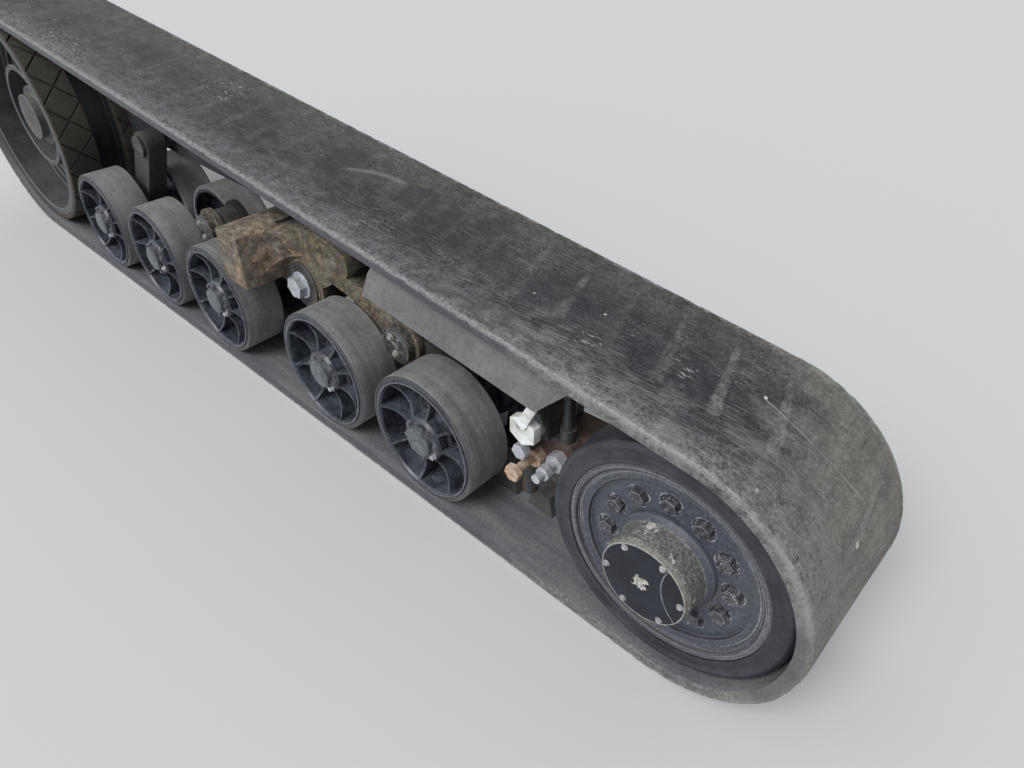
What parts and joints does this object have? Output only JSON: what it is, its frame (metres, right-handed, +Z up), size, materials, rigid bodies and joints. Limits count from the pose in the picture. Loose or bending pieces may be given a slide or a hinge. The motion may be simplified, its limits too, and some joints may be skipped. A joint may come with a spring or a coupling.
{
  "type": "rubber-belt track undercarriage of an asphalt paver",
  "caption": "Rubber-belt track undercarriage of an asphalt paver: wide smooth belt round a front wheel, spoked dual rollers on bogies and a rear drive wheel, with frame and tensioner.",
  "frame": {"origin": "on the ground under the middle of the belt's length and width", "axes": "+X forward along the belt, +Y to the inboard side that bolts to the machine, +Z up"},
  "size_m": [3.7058, 0.466, 0.8639],
  "materials": {
    "belt_rubber": "worn matt rubber, dusty along the edges",
    "wheel_rubber": "dull rubber",
    "roller_rubber": "dusty brown-grey rubber",
    "dark_paint": "dark paint with scuffs",
    "dark_casting": "dark painted casting",
    "dusty_steel": "dusty paint",
    "dark_steel": "oiled dark steel",
    "zinc": "zinc plated, dusty",
    "rusty_iron": "rusted casting with mud",
    "white_plastic": "white cap",
    "grey_paint": "grey-black plate, dusty"
  },
  "bodies": {
    "undercarriage": {"belt": "belt_rubber", "belt_guide_lugs": "belt_rubber", "roller_1_tyres": "roller_rubber", "roller_1_wheels": "dark_casting", "roller_1_axle": "dark_steel", "roller_2_tyres": "roller_rubber", "roller_2_wheels": "dark_casting", "roller_2_axle": "dark_steel", "roller_3_tyres": "roller_rubber", "roller_3_wheels": "dark_casting", "roller_3_axle": "dark_steel", "roller_4_tyres": "roller_rubber", "roller_4_wheels": "dark_casting", "roller_4_axle": "dark_steel", "roller_5_tyres": "roller_rubber", "roller_5_wheels": "dark_casting", "roller_5_axle": "dark_steel", "front_bogie_beam": "rusty_iron", "front_bogie_pin": "rusty_iron", "rear_bogie_beam": "rusty_iron", "rear_bogie_pin": "rusty_iron", "trailing_roller_arm": "rusty_iron", "trailing_arm_pin": "dark_steel", "yoke_casting": "rusty_iron", "cross_beam": "rusty_iron", "main_pivot_shaft": "dark_steel", "main_pivot_bolt": "zinc", "idler_arm": "rusty_iron", "tension_cylinder": "dark_paint", "tensioner_block": "rusty_iron", "tensioner_bolts": "zinc", "adjuster_bolt": "rusty_iron", "tension_feed_pipe": "dark_paint", "grease_valve_cap": "white_plastic", "belt_guard": "grey_paint", "track_frame": "dark_paint", "final_drive_housing": "dark_paint"},
    "front_wheel": {"front_wheel_tyres": "wheel_rubber", "front_wheel_outer_rim": "dark_paint", "front_wheel_inner_rim": "dark_paint", "front_wheel_hub": "dusty_steel", "front_hub_cover": "dark_paint", "front_wheel_bolts": "dark_steel"},
    "drive_wheel": {"drive_wheel_lagging": "wheel_rubber", "drive_wheel_rim": "dark_paint", "drive_wheel_hub": "dusty_steel"}
  },
  "joints": [
    {"name": "front_wheel_turn", "type": "hinge", "parent": "undercarriage", "child": "front_wheel", "pos_m": [1.558, 0, 0.295], "axis": [0, 1, 0], "continuous": true},
    {"name": "drive_wheel_turn", "type": "hinge", "parent": "undercarriage", "child": "drive_wheel", "pos_m": [-1.421, 0, 0.432], "axis": [0, 1, 0], "continuous": true}
  ]
}
